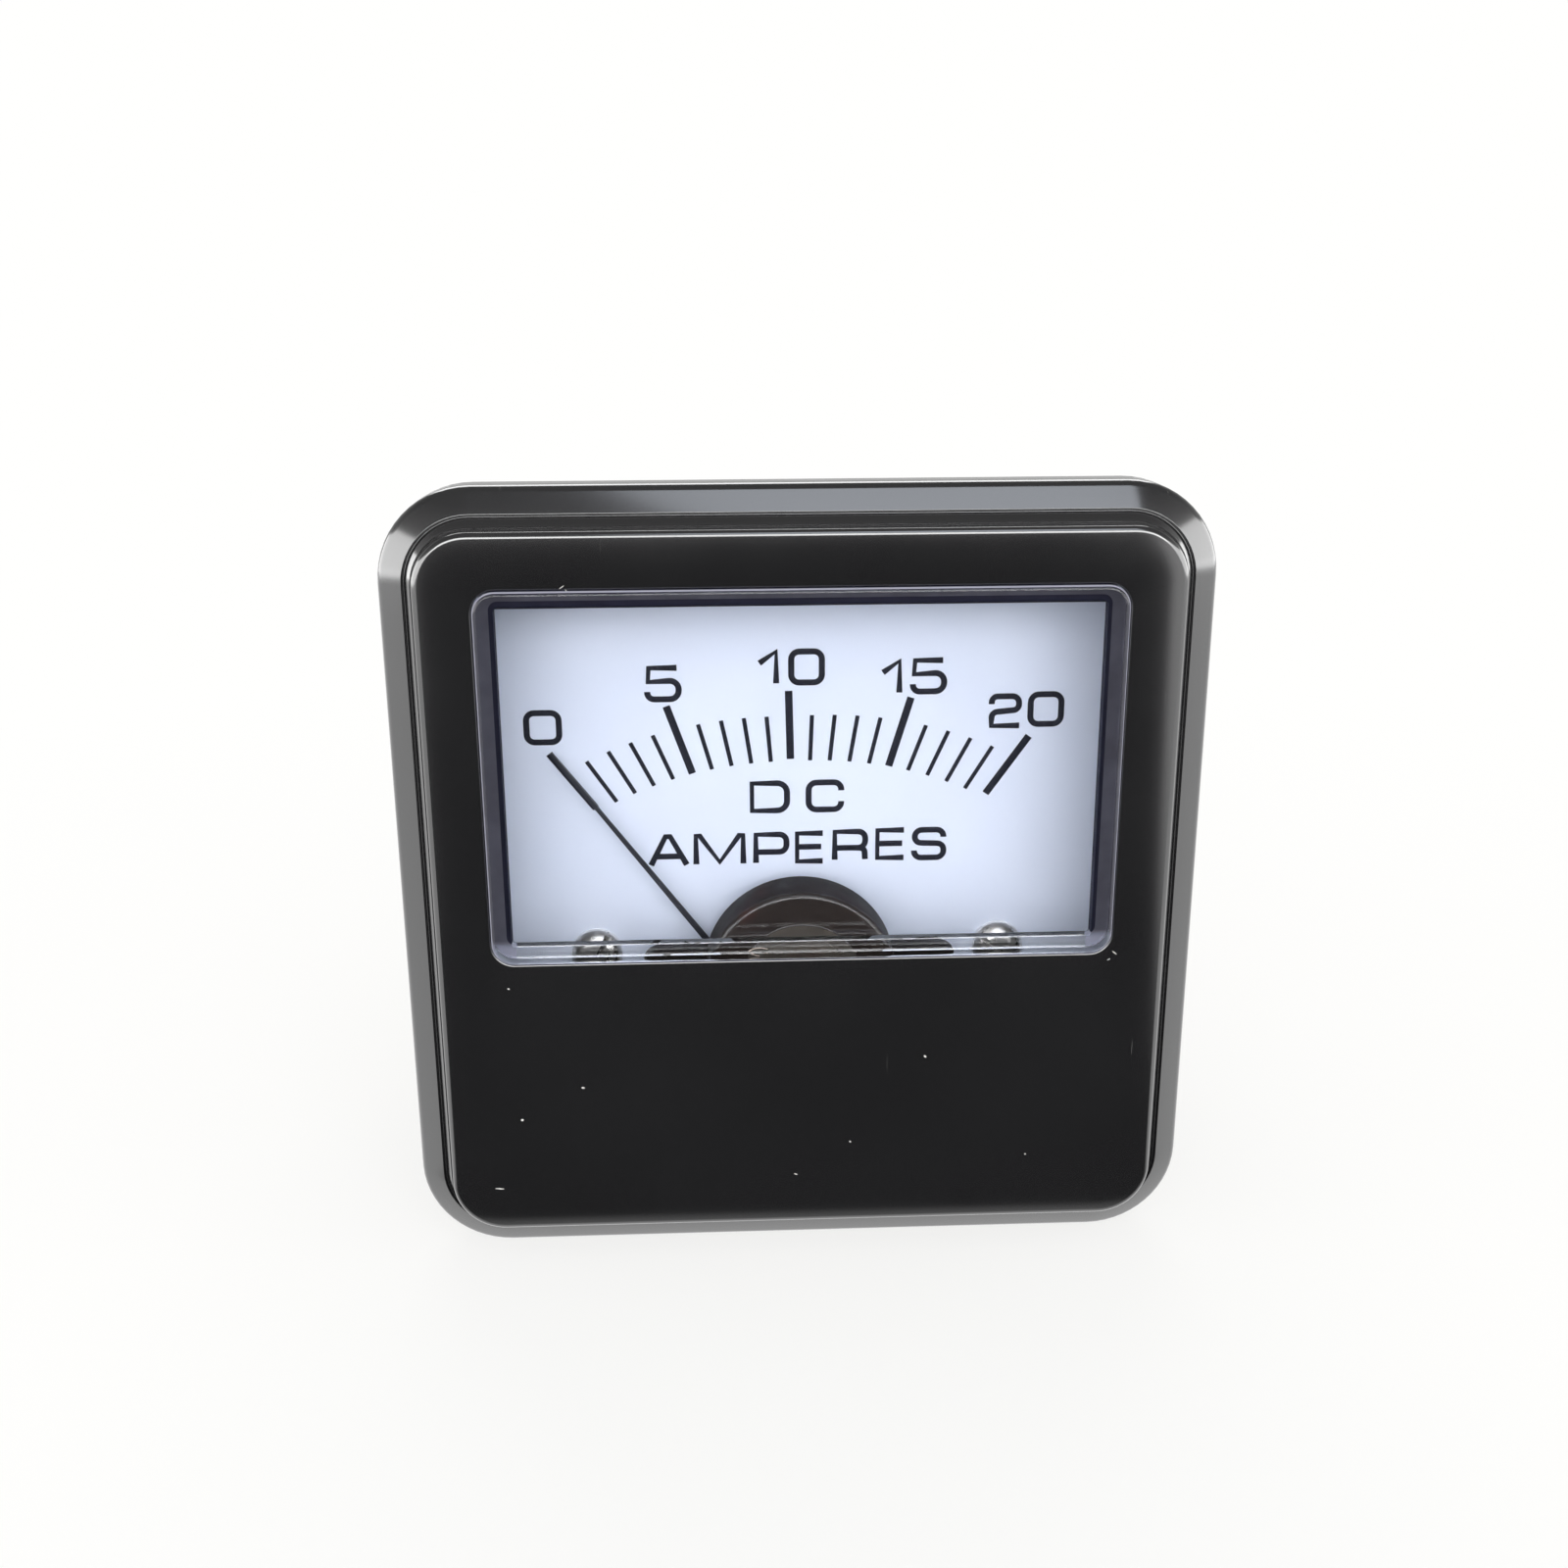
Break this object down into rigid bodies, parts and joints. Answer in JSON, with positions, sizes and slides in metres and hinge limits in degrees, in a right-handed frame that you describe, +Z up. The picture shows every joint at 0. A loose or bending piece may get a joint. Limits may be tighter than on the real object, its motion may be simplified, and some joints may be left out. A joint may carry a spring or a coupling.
{
  "type": "panel ammeter",
  "caption": "Square panel ammeter with a stepped black bezel, wide window, moving-coil pointer movement, round barrel, terminal studs and a clamp bracket.",
  "frame": {"origin": "the round barrel's axis at the front face of the panel, where the square tray seats", "axes": "+X to the dial's right, +Y backwards through the panel along the barrel, +Z up"},
  "size_m": [0.057, 0.0555, 0.057],
  "materials": {
    "bezel_black": "gloss",
    "clear_window": "polished",
    "case_black": "satin",
    "dial_white": "matte",
    "bridge_brown": "gloss",
    "cast_alloy": "satin",
    "nickel": "polished",
    "zinc_steel": "satin",
    "brass": "satin",
    "soft_iron": "satin",
    "magnet_iron": "matte",
    "pointer_black": "satin",
    "hub_alloy": "satin",
    "spring_bronze": "polished",
    "copper_wire": "gloss",
    "shunt_alloy": "satin",
    "fibre_washer": "matte"
  },
  "bodies": {
    "housing": {"bezel": "bezel_black", "window": "clear_window", "rear_case": "case_black", "dial_plate": "dial_white", "dial_screws": "nickel", "front_bridge": "bridge_brown", "bridge_screws": "brass", "movement_frame": "cast_alloy", "frame_screws": "nickel", "pole_pieces": "soft_iron", "magnet": "magnet_iron", "core": "soft_iron", "core_holder": "brass", "rear_bridge": "brass", "jewel_screw_front": "brass", "jewel_screw_rear": "brass", "hairspring_front": "spring_bronze", "hairspring_rear": "spring_bronze", "pointer_stops": "brass", "shunt_strip": "shunt_alloy", "coil_leads": "copper_wire", "terminal_studs": "brass", "terminal_nuts": "brass", "stud_insulators": "fibre_washer", "flat_washers": "brass", "lock_washers": "zinc_steel", "mounting_bracket": "zinc_steel"},
    "pointer": {"pointer": "pointer_black", "pointer_hub": "hub_alloy", "balance_weights": "brass", "pivot_staff": "zinc_steel", "coil_former": "hub_alloy", "moving_coil": "copper_wire"}
  },
  "joints": [
    {"name": "pointer_turn", "type": "hinge", "parent": "housing", "child": "pointer", "pos_m": [0, 0, -0.0152], "axis": [0, 1, 0], "range_deg": [-3, 75], "stiffness_Nm_per_rad": 0.00002}
  ]
}
